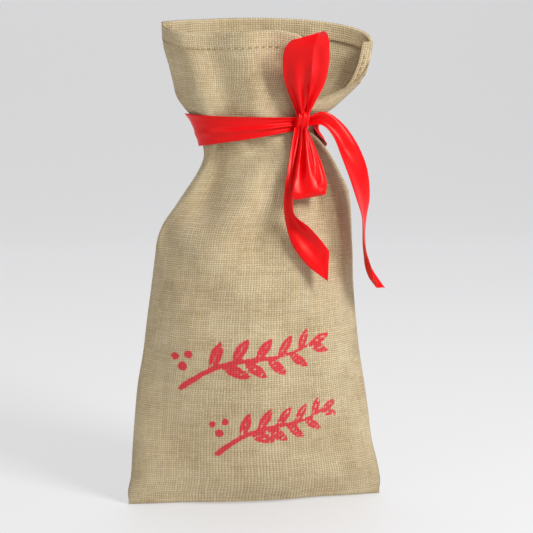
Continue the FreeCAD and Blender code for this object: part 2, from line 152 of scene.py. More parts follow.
def thick_sheet(name, points, thickness, uvs, materials, values=None):
    """A closed sheet of cloth. Its face is the grid of points, whose normals point out of the face, and its
    back is the same grid moved thickness along the normals the other way. A rim of quads joins them."""
    rows, columns = points.shape[:2]
    count = rows * columns
    back = points - grid_normals(points) * thickness
    face_quads = grid_faces(rows, columns)
    back_quads = grid_faces(rows, columns, count, turned=True)
    ids = np.arange(count).reshape(rows, columns)
    edges = [ids[0, :], ids[:, -1], ids[-1, ::-1], ids[::-1, 0]]
    rims = [np.stack([e[:-1], e[:-1] + count, e[1:] + count, e[1:]], axis=1) for e in edges]
    quads = np.concatenate([face_quads, back_quads, *rims])
    slots = np.zeros(len(quads), int)
    slots[len(face_quads):] = 1 if len(materials) > 1 else 0
    both = {key: np.concatenate([value.ravel()] * 2) for key, value in (values or {}).items()}
    return make_mesh(name, np.concatenate([points.reshape(-1, 3), back.reshape(-1, 3)]), quads,
                     np.concatenate([uvs.reshape(-1, 2)] * 2), slots, materials, both)


# ---------------------------------------------------------------------------------------------
# Materials
# ---------------------------------------------------------------------------------------------
def linear(hex_colour):
    """An sRGB hex colour as linear RGBA."""
    parts = [int(hex_colour[i:i + 2], 16) / 255 for i in (1, 3, 5)]
    return tuple(c / 12.92 if c <= 0.04045 else ((c + 0.055) / 1.055) ** 2.4 for c in parts) + (1.0,)


def add(tree, kind, links=None, values=None, **settings):
    """Adds a node with its settings, the values of its inputs and links from other nodes' outputs."""
    made = tree.nodes.new(kind)
    for key, value in settings.items():
        setattr(made, key, value)
    for key, value in (values or {}).items():
        made.inputs[key].default_value = value
    for key, source in (links or {}).items():
        tree.links.new(source, made.inputs[key])
    return made


def new_material(name):
    """An empty node material, and its tree."""
    material = bpy.data.materials.new(name)
    material.use_nodes = True
    material.node_tree.nodes.clear()
    return material, material.node_tree


def maths(tree, operation, a, b=None, c=None):
    """A Math node on sockets or plain numbers; returns its output."""
    made = tree.nodes.new("ShaderNodeMath")
    made.operation = operation
    for index, value in enumerate((a, b, c)):
        if value is None:
            continue
        if isinstance(value, (int, float)):
            made.inputs[index].default_value = value
        else:
            tree.links.new(value, made.inputs[index])
    return made.outputs[0]


THREAD_PITCH = 1.62      # thread spacing, a little over the real 1.5 mm, so that the weave shows


def hessian(name, printed):
    """Hessian: plain-woven jute. Stiff matt yarn of uneven thickness and colour, with pin holes between
    the threads, darkened by painted shade. The ink of the print is soaked into the face of the yarn."""
    material, tree = new_material(name)
    cloth_map = add(tree, "ShaderNodeUVMap", uv_map="cloth")
    waver = add(tree, "ShaderNodeTexNoise", {"Vector": cloth_map.outputs["UV"]},
                {"Scale": 90.0, "Detail": 2.0, "Roughness": 0.5})
    shift = add(tree, "ShaderNodeVectorMath", {0: waver.outputs["Color"]},
                {1: (0.5, 0.5, 0.5)}, operation="SUBTRACT")
    small = add(tree, "ShaderNodeVectorMath", {0: shift.outputs[0]},
                {1: (0.0016, 0.0016, 0.0)}, operation="MULTIPLY")
    moved = add(tree, "ShaderNodeVectorMath", {0: cloth_map.outputs["UV"], 1: small.outputs[0]},
                operation="ADD")
    scaled = add(tree, "ShaderNodeVectorMath", {0: moved.outputs[0]},
                 {1: (MM / THREAD_PITCH, MM / THREAD_PITCH, 1.0)}, operation="MULTIPLY")
    split = add(tree, "ShaderNodeSeparateXYZ", {0: scaled.outputs[0]})
    heights, yarns, bodies = [], [], []
    for own, other, phase in ((0, 1, 0.0), (1, 0, math.pi)):
        # Each thread is a round ridge that rises over one cross thread and dips under the next.
        own_at, other_at = split.outputs[own], split.outputs[other]
        index = maths(tree, "FLOOR", own_at)
        off = maths(tree, "SUBTRACT", maths(tree, "FRACT", own_at), 0.5)
        thickness = add(tree, "ShaderNodeTexNoise", {"Vector": add(tree, "ShaderNodeCombineXYZ", {
            0: index, 1: maths(tree, "MULTIPLY", other_at, 0.13)}).outputs[0]},
            {"Scale": 2.3, "Detail": 1.0})
        half = maths(tree, "MULTIPLY_ADD", thickness.outputs["Fac"], 0.34, 0.22)
        ratio = maths(tree, "DIVIDE", off, half)
        body = maths(tree, "SUBTRACT", 1.0, maths(tree, "MULTIPLY", ratio, ratio))
        body = maths(tree, "MAXIMUM", body, 0.0)
        crossing = maths(tree, "ADD", maths(tree, "SUBTRACT", other_at, 0.5), index)
        turn = maths(tree, "MULTIPLY_ADD", crossing, math.pi, phase)
        wave = maths(tree, "COSINE", turn)
        lift = maths(tree, "MULTIPLY_ADD", wave, 0.36, 0.64)
        heights.append(maths(tree, "MULTIPLY", maths(tree, "SQRT", body), lift))
        bodies.append(body)
        yarn = add(tree, "ShaderNodeTexWhiteNoise", {"Vector": add(tree, "ShaderNodeCombineXYZ", {
            0: index, 1: maths(tree, "FLOOR", maths(tree, "MULTIPLY", other_at, 0.11))}).outputs[0]},
            noise_dimensions="2D")
        yarns.append(yarn.outputs["Value"])
    height = maths(tree, "MAXIMUM", heights[0], heights[1])
    warp_on_top = maths(tree, "GREATER_THAN", heights[0], heights[1])
    yarn_tone = add(tree, "ShaderNodeMix", {0: warp_on_top, 2: yarns[1], 3: yarns[0]}, data_type="FLOAT")
    cloud = add(tree, "ShaderNodeTexNoise", {"Vector": cloth_map.outputs["UV"]},
                {"Scale": 26.0, "Detail": 3.0, "Roughness": 0.6})
    tone = maths(tree, "ADD", maths(tree, "MULTIPLY", yarn_tone.outputs[0], 0.22),
                 maths(tree, "MULTIPLY", cloud.outputs["Fac"], 0.74))
    ramp = add(tree, "ShaderNodeValToRGB", {0: tone})
    ramp.color_ramp.elements[0].position, ramp.color_ramp.elements[0].color = 0.12, linear("#A38B66")
    ramp.color_ramp.elements[1].position, ramp.color_ramp.elements[1].color = 0.88, linear("#DACAA6")
    middle = ramp.color_ramp.elements.new(0.5)
    middle.color = linear("#C1AE8A")
    colour = ramp.outputs["Color"]
    if printed:
        ink_at = add(tree, "ShaderNodeAttribute", attribute_name="ink").outputs["Fac"]
        ragged = maths(tree, "MULTIPLY_ADD", yarn_tone.outputs[0], 0.5, ink_at)
        inked = add(tree, "ShaderNodeMapRange", {0: ragged},
                    {1: 0.1, 2: 0.75, 3: 1.0, 4: 0.0}, interpolation_type="SMOOTHSTEP").outputs[0]
        worn = maths(tree, "MULTIPLY", inked, 0.94)
        red = add(tree, "ShaderNodeMix", {0: cloud.outputs["Fac"]},
                  {6: linear("#C8172B"), 7: linear("#E23546")}, data_type="RGBA")
        colour = add(tree, "ShaderNodeMix", {0: worn, 6: colour, 7: red.outputs[2]},
                     data_type="RGBA").outputs[2]
    # Painted shade: the colour is darkened where the threads dip and in the holes between them, and lifted
    # a little on their crowns as a painted highlight.
    shade = add(tree, "ShaderNodeMapRange", {0: height}, {1: 0.02, 2: 0.62, 3: 0.36, 4: 1.1})
    dark = add(tree, "ShaderNodeVectorMath", {0: colour, 1: add(
        tree, "ShaderNodeCombineXYZ", {0: shade.outputs[0], 1: shade.outputs[0], 2: shade.outputs[0]}
    ).outputs[0]}, operation="MULTIPLY")
    fuzz = add(tree, "ShaderNodeTexNoise", {"Vector": cloth_map.outputs["UV"]},
               {"Scale": 2600.0, "Detail": 2.0})
    relief = maths(tree, "MULTIPLY_ADD", fuzz.outputs["Fac"], 0.25, height)
    bump = add(tree, "ShaderNodeBump", {"Height": relief}, {"Strength": 0.75, "Distance": 0.0005})
    shader = add(tree, "ShaderNodeBsdfPrincipled",
                 {"Base Color": dark.outputs[0], "Normal": bump.outputs[0]},
                 {"Roughness": 0.92, "Specular IOR Level": 0.18, "Sheen Weight": 0.12,
                  "Sheen Roughness": 0.6})
    add(tree, "ShaderNodeOutputMaterial", {"Surface": shader.outputs[0]})
    return material


def satin(name):
    """Satin ribbon: polyester woven with long floats. Smooth and bright, with fine lines along its length
    that spread the highlight across it, and a slight glow at a grazing angle."""
    material, tree = new_material(name)
    ribbon_map = add(tree, "ShaderNodeUVMap", uv_map="cloth")
    drawn = add(tree, "ShaderNodeVectorMath", {0: ribbon_map.outputs["UV"]},
                {1: (3200.0, 60.0, 1.0)}, operation="MULTIPLY")
    floats = add(tree, "ShaderNodeTexNoise", {"Vector": drawn.outputs[0]}, {"Scale": 1.0, "Detail": 2.0})
    soft = add(tree, "ShaderNodeTexNoise", {"Vector": ribbon_map.outputs["UV"]},
               {"Scale": 70.0, "Detail": 2.0})
    mixed = add(tree, "ShaderNodeMix", {0: soft.outputs["Fac"]},
                {6: linear("#D60008"), 7: linear("#EE0612")}, data_type="RGBA")
    bump = add(tree, "ShaderNodeBump", {"Height": floats.outputs["Fac"]},
               {"Strength": 0.22, "Distance": 0.0002})
    rough = add(tree, "ShaderNodeMapRange", {0: floats.outputs["Fac"]}, {1: 0.2, 2: 0.8, 3: 0.26, 4: 0.36})
    shader = add(tree, "ShaderNodeBsdfPrincipled",
                 {"Base Color": mixed.outputs[2], "Normal": bump.outputs[0], "Roughness": rough.outputs[0]},
                 {"IOR": 1.5, "Specular IOR Level": 0.75, "Specular Tint": linear("#FF8C80"),
                  "Sheen Weight": 0.03, "Sheen Tint": linear("#FF6A60")})
    add(tree, "ShaderNodeOutputMaterial", {"Surface": shader.outputs[0]})
    return material


def jute_thread(name):
    """Sewing thread: two-ply jute, twisted, a shade darker than the cloth."""
    material, tree = new_material(name)
    where = add(tree, "ShaderNodeTexCoord")
    twist = add(tree, "ShaderNodeTexWave", {"Vector": where.outputs["Object"]},
                {"Scale": 900.0, "Distortion": 1.5}, bands_direction="DIAGONAL")
    # Painted shade and light: the twist's grooves are coloured darker and its crests lighter, by the same
    # waves that raise the bump.
    tone = add(tree, "ShaderNodeMix", {0: twist.outputs["Fac"]},
               {6: linear("#8A7047"), 7: linear("#C9B184")}, data_type="RGBA")
    bump = add(tree, "ShaderNodeBump", {"Height": twist.outputs["Fac"]},
               {"Strength": 0.4, "Distance": 0.0002})
    shader = add(tree, "ShaderNodeBsdfPrincipled",
                 {"Base Color": tone.outputs[2], "Normal": bump.outputs[0]},
                 {"Roughness": 0.85, "Specular IOR Level": 0.2})
    add(tree, "ShaderNodeOutputMaterial", {"Surface": shader.outputs[0]})
    return material


HESSIAN_FACE = hessian("printed_hessian", True)
HESSIAN_BACK = hessian("plain_hessian", False)
SATIN = satin("red_satin_ribbon")
THREAD = jute_thread("jute_sewing_thread")

# ---------------------------------------------------------------------------------------------
# The bag's shape
# ---------------------------------------------------------------------------------------------
# How far the left and right side seams stand from the middle, and how deep each half is, by height.
OUTLINE = np.array([
    # height, left, right, depth
    [0.0, -95.5, 94.0, 9.0],
    [8.0, -96.6, 95.6, 15.0],
    [20.0, -94.4, 94.2, 21.5],
    [44.0, -92.6, 88.6, 28.0],
    [68.0, -90.6, 85.4, 33.0],
    [91.0, -88.2, 81.8, 37.0],
    [115.0, -83.9, 77.9, 40.0],
    [139.0, -80.8, 75.2, 41.5],
    [163.0, -77.4, 73.2, 42.0],
    [186.0, -74.3, 72.4, 41.0],
    [198.0, -72.6, 71.9, 39.5],
    [210.0, -68.0, 71.4, 37.0],
    [222.0, -59.6, 70.6, 34.5],
    [234.0, -51.4, 68.6, 31.0],
    [246.0, -43.4, 62.6, 28.0],
    [258.0, -38.2, 56.2, 25.5],
    [270.0, -39.6, 47.4, 23.5],
    [278.0, -42.2, 42.6, 23.0],
    [287.0, -46.4, 48.5, 23.6],
    [293.0, -51.6, 57.0, 24.5],
    [301.0, -57.2, 66.2, 25.5],
    [311.0, -59.8, 76.4, 27.0],
    [323.0, -62.6, 82.4, 28.5],
    [335.0, -66.0, 85.4, 30.0],
    [343.0, -67.2, 86.4, 31.0],
    [362.0, -67.8, 87.4, 32.0],
])
# The mouth's edge, by the share of the way from its left corner (-1) to its right one (1).
FRONT_EDGE = np.array([
    [-1.0, 354.0], [-0.8, 349.5], [-0.55, 346.0], [-0.2, 346.0], [0.05, 347.0], [0.2, 340.0],
    [0.33, 318.0], [0.47, 300.5], [0.6, 304.0], [0.74, 311.5], [0.86, 320.0], [0.95, 331.0], [1.0, 341.0],
])
BACK_EDGE = np.array([
    [-1.0, 354.0], [-0.5, 357.0], [0.0, 359.5], [0.4, 356.5], [0.8, 348.0], [1.0, 341.0],
])
# Creases and swells of the cloth: from (x, z) to (x, z), width and height out of the cloth.
FRONT_FOLDS = [
    ((-4, 264), (-66, 204), 8.0, -6.5),
    ((22, 262), (-58, 172), 11.0, 6.0),
    ((-26, 264), (-40, 216), 5.0, -4.2),
    ((-36, 262), (-62, 220), 5.5, 4.2),
    ((10, 262), (-8, 196), 8.0, -4.6),
    ((28, 258), (24, 160), 9.0, 3.2),
    ((34, 272), (46, 190), 8.0, -8.5),
    ((41, 262), (66, 190), 8.0, 5.2),
    ((56, 224), (62, 140), 10.0, -3.8),
    ((-70, 196), (-34, 150), 12.0, -3.2),
    ((-38, 292), (-58, 346), 7.0, 3.4),
    ((-22, 292), (-36, 346), 7.0, -3.6),
    ((-4, 292), (-10, 350), 8.0, 3.6),
    ((12, 292), (6, 348), 7.0, -3.4),
    ((30, 291), (16, 326), 5.5, -5.5),
    ((-82, 120), (-58, 16), 14.0, -4.0),
    ((72, 112), (48, 16), 13.0, -3.8),
    ((-10, 150), (0, 30), 26.0, 3.0),
]
BACK_FOLDS = [
    ((0, 266), (-56, 196), 11.0, 4.0),
    ((-20, 264), (-60, 210), 7.0, -3.6),
    ((16, 266), (24, 180), 12.0, -3.4),
    ((34, 266), (60, 200), 8.0, 3.2),
    ((-26, 294), (-44, 350), 8.0, -2.6),
    ((2, 294), (0, 352), 10.0, 2.6),
    ((26, 294), (44, 350), 9.0, -3.0),
    ((0, 160), (6, 30), 34.0, 2.2),
]


def swells(x, z, folds):
    """Sum of long soft ridges. Each is its height times a bell curve of the distance from its line, and it
    fades beyond the line's ends over 1.6 of its widths."""
    total = np.zeros_like(x)
    for (x0, z0), (x1, z1), width, height in folds:
        length = math.hypot(x1 - x0, z1 - z0)
        along_x, along_z = (x1 - x0) / length, (z1 - z0) / length
        along = (x - x0) * along_x + (z - z0) * along_z
        beyond = np.maximum(np.maximum(-along, along - length), 0) / (1.6 * width)
        spread = width * (1 + 0.5 * np.clip(along / length, 0, 1))
        aside = ((x - x0) * along_z - (z - z0) * along_x) / spread
        total += height * np.exp(-aside ** 2 - beyond ** 2)
    return total


def bag_surface(across, height, side, lift=0.0, creased=1.0):
    """A point of the bag's outside. across runs from -1 at the left seam to 1 at the right one, and turns
    about the middle as an angle: x is its sine and y its cosine to the power 1.15, so the halves meet at
    the seams in an edge. side is -1 for the front and 1 for the back; lift moves it out of the cloth.
    creased scales the folds, for what is stretched over them."""
    rows = through(height, OUTLINE[:, 0], OUTLINE[:, 1:])
    middle, half, depth = (rows[..., 0] + rows[..., 1]) / 2, (rows[..., 1] - rows[..., 0]) / 2, rows[..., 2]
    angle = across * math.pi / 2
    x = middle + (half + lift) * np.sin(angle)
    body = np.maximum(np.cos(angle), 0) ** 1.15
    folds = swells(x, height, FRONT_FOLDS if side < 0 else BACK_FOLDS)
    near_neck = np.exp(-((height - NECK_Z) / 17.0) ** 2)
    gathers = 1.5 * near_neck * np.cos(across * 19.0 + 1.3 * side)
    ripple = (0.7 * np.sin(x / 17.0 + height / 31.0 + side) + 0.5 * np.sin(x / 9.0 - height / 23.0)) * ease(
        0, 30, height)
    inside_ends = ease(0.0, 0.35, body)
    y = side * ((depth + lift) * body + (folds + gathers + ripple) * inside_ends * creased)
    return np.stack(np.broadcast_arrays(x, y, height), axis=-1)


def usual_edge(across):
    """Height of the front's edge, were it not pulled down: a little under the back's."""
    return through(across, BACK_EDGE[:, 0], BACK_EDGE[:, 1]) - 11.0


def sprig_distance(x, z):
    """Signed distance in millimetres to the print, negative inside it: two slanting sprigs. Each stem is a
    bent line of capsules, each leaf a pointed oval made where two circles overlap, each berry a circle."""
    best = np.full_like(x, 99.0)

    def stroke(x0, z0, x1, z1, r0, r1):
        """Distance to a tapering line: to its nearest point, less the radius there."""
        length2 = (x1 - x0) ** 2 + (z1 - z0) ** 2
        part = np.clip(((x - x0) * (x1 - x0) + (z - z0) * (z1 - z0)) / length2, 0, 1)
        return np.hypot(x - x0 - part * (x1 - x0), z - z0 - part * (z1 - z0)) - (r0 + part * (r1 - r0))

    def leaf(x0, z0, turn, length, width):
        """Distance to the overlap of two equal circles whose crossings are the leaf's ends."""
        dx, dz = math.cos(turn), math.sin(turn)
        along = (x - x0) * dx + (z - z0) * dz - length / 2
        aside = -(x - x0) * dz + (z - z0) * dx
        radius = (length ** 2 / 4 + width ** 2 / 4) / width
        centre = radius - width / 2
        blade = np.maximum(np.hypot(along, aside - centre), np.hypot(along, aside + centre)) - radius
        vein = 0.55 - np.abs(aside) - 0.25 * np.maximum(along, 0) / length
        inner = np.where(np.abs(along) < length * 0.36, vein, -9.0)
        return np.maximum(blade, inner)

    def sprig(x0, z0, x1, z1, bow, leaf_length, berries):
        """A stem from (x0, z0) to (x1, z1), bent by part of a sine wave, with leaves in pairs, a leaf at
        its tip and a few berries."""
        nonlocal best
        part = np.linspace(0, 1, 13)
        dx, dz = x1 - x0, z1 - z0
        length = math.hypot(dx, dz)
        bend = bow * np.sin(part * math.pi * 1.6)
        sx = x0 + part * dx - bend * dz / length
        sz = z0 + part * dz + bend * dx / length
        for i in range(12):
            r0, r1 = 1.9 - 1.1 * part[i], 1.9 - 1.1 * part[i + 1]
            best = np.minimum(best, stroke(sx[i], sz[i], sx[i + 1], sz[i + 1], r0, r1))
        for i in range(3, 12, 2):
            turn = math.atan2(sz[i + 1] - sz[i], sx[i + 1] - sx[i])
            size = leaf_length * (1.12 - 0.42 * part[i])
            for hand in (1, -1):
                at = i if hand > 0 else i + 1
                best = np.minimum(best, leaf(sx[at], sz[at], turn + hand * 0.82, size, size * 0.36))
        best = np.minimum(best, leaf(sx[12], sz[12], math.atan2(sz[12] - sz[11], sx[12] - sx[11]),
                                     leaf_length * 0.75, leaf_length * 0.28))
        for bx, bz, radius in berries:
            best = np.minimum(best, np.hypot(x - bx, z - bz) - radius)

    sprig(-58.0, 94.0, 32.0, 130.0, 6.0, 22.0, [(-57, 110, 3.2), (-62, 117, 2.6), (-53, 119, 2.8)])
    sprig(-32.0, 44.0, 42.0, 78.0, 5.0, 20.0, [(-31, 60, 3.0), (-36, 67, 2.4), (-27, 69, 2.6)])
    return best


def along_path(path, values, distances):
    """Rows of values at distances along each column's path: on the straight line between the two rows on
    either side."""
    row = np.clip((path[None] <= distances[:, None, None]).sum(axis=1) - 1, 0, len(path) - 2)
    column = np.arange(path.shape[1])
    start, end = path[row, column], path[row + 1, column]
    part = ((distances[:, None] - start) / (end - start))[..., None]
    return values[row, column] * (1 - part) + values[row + 1, column] * part


def panel(name, side, edge, printed):
    """One cloth panel with its seam allowances and hem, cut from one piece.

    Columns run across: the left allowance, the outside from seam to seam, the right allowance. Rows run up:
    the bottom allowance, the turn onto the floor (a quarter of an oval), the outside up to the mouth's
    edge, and the hem turned down inside. Above the ribbon each column shares its height out evenly between
    the bend and the mouth's edge, so where the edge dips the cloth bunches and leans into the mouth."""
    fold_in, wide = 6, 141
    across = np.concatenate([np.full(fold_in, -1.0), np.linspace(-1, 1, wide), np.full(fold_in, 1.0)])
    tuck_x = np.concatenate([np.linspace(1, 1 / fold_in, fold_in), np.zeros(wide),
                             np.linspace(1 / fold_in, 1, fold_in)])
    tuck_sign = np.concatenate([np.full(fold_in, 1.0), np.zeros(wide), np.full(fold_in, -1.0)])
    bottom_rows, turn_rows, body_rows, hem_rows = 4, 8, 176, 12
    # Each row's height on the cut cloth, laid flat.
    flat_up = np.concatenate([
        np.linspace(-ALLOWANCE, -1, bottom_rows),
        np.linspace(0, TURN_CLOTH, turn_rows, endpoint=False),
        np.linspace(TURN_CLOTH, PANEL_LENGTH, body_rows),
        PANEL_LENGTH + np.linspace(1.2, HEM, hem_rows),
    ])
    body_up = flat_up[bottom_rows + turn_rows:bottom_rows + turn_rows + body_rows]
    cols = len(across)
    top = through(across, edge[:, 0], edge[:, 1])

    usual_top = 352.0
    share = (body_up - TURN_CLOTH) / (PANEL_LENGTH - TURN_CLOTH)
    fold_share = (FOLD_Z - TURN_HEIGHT) / (usual_top - TURN_HEIGHT)
    low = TURN_HEIGHT + share / fold_share * (FOLD_Z - TURN_HEIGHT)
    high = FOLD_Z + (share[:, None] - fold_share) / (1 - fold_share) * (top[None, :] - FOLD_Z)
    height = np.where(share[:, None] <= fold_share, low[:, None], high)
    body = bag_surface(across[None, :], height, side)
    # The dip: where the edge is lowest, the cloth leans into the mouth and bulges up a little.
    deepest_lean, bulge, deepest_dip = 30.0, 3.0, 50.0
    missing = np.clip((usual_edge(across) - top) / deepest_dip, 0, 1) * (np.abs(across) < 1)
    rise = np.clip((share - fold_share) / (1 - fold_share), 0, 1)
    lean = missing[None, :] ** 1.2 * rise[:, None] ** 1.35
    body[..., 1] -= side * deepest_lean * lean * np.cos(across[None, :] * math.pi / 2) ** 0.5
    body[..., 2] += bulge * np.sin(math.pi * rise)[:, None] * missing[None, :]

    first = bag_surface(across[None, :], np.full((1, cols), TURN_HEIGHT), side)[0]
    beta = np.linspace(0, math.pi / 2, turn_rows, endpoint=False)[:, None]
    turn = np.stack([np.broadcast_to(first[:, 0], (turn_rows, cols)),
                     first[None, :, 1] * np.sin(beta) + side * SEAM_HALF_GAP,
                     np.broadcast_to(TURN_HEIGHT * (1 - np.cos(beta)), (turn_rows, cols))], axis=-1)
    tuck_up = -flat_up[:bottom_rows]
    bottom = np.stack([np.broadcast_to(first[:, 0], (bottom_rows, cols)),
                       np.full((bottom_rows, cols), side * SEAM_HALF_GAP),
                       np.broadcast_to(tuck_up[:, None] + 1.4, (bottom_rows, cols))], axis=-1)
    outside = np.concatenate([turn, body])
    normals = grid_normals(outside) * (-1 if side > 0 else 1)
    # The hem goes back down inside, as far as it is deep.
    down = np.linspace(1.2, HEM, hem_rows)
    spacing = np.linalg.norm(np.diff(body, axis=0), axis=2)
    path = np.concatenate([np.zeros((1, cols)), np.cumsum(spacing[::-1], axis=0)])
    behind = HEM_INSIDE * ease(0.0, down[0], down)[:, None, None]
    hem = along_path(path, body[::-1], down) - along_path(path, normals[turn_rows:][::-1], down) * behind
    points = np.concatenate([bottom, outside, hem])
    # The seam allowances lie side by side inside, close to the middle.
    points[..., 0] += tuck_sign * tuck_x * ALLOWANCE
    points[..., 1] = np.where(np.abs(across) == 1, side * SEAM_HALF_GAP, points[..., 1])
    flat_across = across * PANEL_WIDTH / 2 - tuck_sign * tuck_x * ALLOWANCE
    uvs = np.stack(np.broadcast_arrays(flat_across[None, :], flat_up[:, None]), axis=-1)
    ink = sprig_distance(points[..., 0], points[..., 2])
    ink = np.where((np.abs(uvs[..., 1] - 100) < 75) & (tuck_x[None, :] == 0), ink, 9.0)
    if side > 0:
        points, uvs, ink = points[:, ::-1], uvs[:, ::-1], ink[:, ::-1]
    face = HESSIAN_FACE if printed else HESSIAN_BACK
    return thick_sheet(name, points, CLOTH, uvs, [face, HESSIAN_BACK], {"ink": ink} if printed else None)


front_cloth = panel("front_cloth", -1, FRONT_EDGE, True)
back_cloth = panel("back_cloth", 1, BACK_EDGE, False)

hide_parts("front_panel", "collar_front", "front_hem")
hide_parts("back_panel", "collar_back", "back_hem")
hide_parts("bottom_seam_allowance", "left_seam_allowance", "collar_left_seam_allowance")
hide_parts("right_seam_allowance", "collar_right_seam_allowance")
for cloth in (front_cloth, back_cloth):
    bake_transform(cloth)


# ---------------------------------------------------------------------------------------------
# Stitching
# ---------------------------------------------------------------------------------------------
def stitches(name, places, directions, radius=0.42, length=3.4):
    """Short raised stitches: each is a spindle about its direction, six-sided, with the radius following
    a half sine from end to end."""
    ends, sides = 7, 6
    part = np.linspace(0, 1, ends)
    turn = np.arange(sides + 1) * 2 * math.pi / sides
    along = directions / np.linalg.norm(directions, axis=1, keepdims=True)
    other = np.cross(along, np.array([0.0, 0.0, 1.0]) + 0.3 * along[:, ::-1])
    other /= np.linalg.norm(other, axis=1, keepdims=True)
    third = np.cross(along, other)
    size = radius * np.maximum(np.sin(part * math.pi), 0.08)
    ring = (np.cos(turn)[None, None, :, None] * other[:, None, None, :]
            + np.sin(turn)[None, None, :, None] * third[:, None, None, :])
    reach = ((part - 0.5) * length)[None, :, None, None]
    points = places[:, None, None, :] + along[:, None, None, :] * reach + ring * size[None, :, None, None]
    one = grid_faces(ends, sides + 1)
    count = ends * (sides + 1)
    quads = (one[None] + (np.arange(len(places)) * count)[:, None, None]).reshape(-1, 4)
    return make_mesh(name, points.reshape(-1, 3), quads, materials=[THREAD])


def hem_line(side, edge, count):
    """Places and directions of a row of stitches on the outside, a hem's depth below the mouth's edge."""
    across = np.linspace(-0.93, 0.93, count)
    top = through(across, edge[:, 0], edge[:, 1])
    at = bag_surface(across, top - 0.86 * HEM, side, lift=0.25)
    keep = (usual_edge(across) - top) < 14.0
    return at[keep], np.gradient(at, axis=0)[keep]


def seam_line(hand, side, low, high, count):
    """Places and directions of a row of stitches up a seam allowance, on its inner face."""
    height = np.linspace(low, high, count)
    at = bag_surface(np.full(count, float(hand)), height, side)
    at[:, 0] -= hand * ALLOWANCE * 0.6
    at[:, 1] = side * (SEAM_HALF_GAP + CLOTH + 0.35)
    return at, np.gradient(at, axis=0)


rows = {
    "front_hem_stitches": ([hem_line(-1, FRONT_EDGE, 44)], ["front_hem_thread"]),
    "back_hem_stitches": ([hem_line(1, BACK_EDGE, 44)], ["back_hem_thread"]),
    "left_seam_stitches": ([seam_line(-1, side, 12, 344, 78) for side in (-1, 1)],
                           ["left_seam_thread", "collar_left_seam_thread"]),
    "right_seam_stitches": ([seam_line(1, side, 12, 330, 75) for side in (-1, 1)],
                            ["right_seam_thread", "collar_right_seam_thread"]),
}
for row_name, (lines, nodes) in rows.items():
    row = stitches(row_name, np.concatenate([line[0] for line in lines]),
                   np.concatenate([line[1] for line in lines]))
    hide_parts(*nodes)
    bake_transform(row)


# ---------------------------------------------------------------------------------------------
# Ribbon
# ---------------------------------------------------------------------------------------------
def ribbon_strip(name, keys, folds, steps=120, wide=33):
    """A length of ribbon. keys has a row for each place along it: centre x, y, z, then the half-width as a
    vector x, y, z. Where the half-width is short of the real one the ribbon is gathered: its cross-section
    is a wave, with folds half waves across and a height that makes up the missing width."""
    keys = np.asarray(keys, float)
    at = np.concatenate([[0], np.cumsum(np.linalg.norm(np.diff(keys[:, :3], axis=0), axis=1))])
    along = np.linspace(0, at[-1], steps)
    path = through(along, at, keys)
    centre, half = path[:, :3], path[:, 3:]
    forward = np.gradient(centre, axis=0)
    normal = np.cross(half, forward)
    normal /= np.maximum(np.linalg.norm(normal, axis=1, keepdims=True), 1e-9)
    part = np.linspace(-1, 1, wide)
    width = np.linalg.norm(half, axis=1)
    missing = np.sqrt(np.maximum((RIBBON_WIDTH / 2 / np.maximum(width, 1.0)) ** 2 - 1, 0))
    height = np.minimum(missing * width * 0.9 / folds, 1.9)
    wave = np.cos(part[None, :] * folds * math.pi / 2 + 0.6 * np.sin(along[:, None] / 21.0))
    points = (centre[:, None, :] + half[:, None, :] * part[None, :, None]
              + normal[:, None, :] * (height[:, None] * wave)[..., None])
    uvs = np.stack(np.broadcast_arrays(part[None, :] * RIBBON_WIDTH / 2, along[:, None]), axis=-1)
    return thick_sheet(name, points, RIBBON, uvs, [SATIN]), at[-1]


def finish_ribbon(piece, node, body):
    """Hides the CAD node that a piece of ribbon stands for, and puts the piece on the body it rides on."""
    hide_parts(node)
    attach(piece, body)


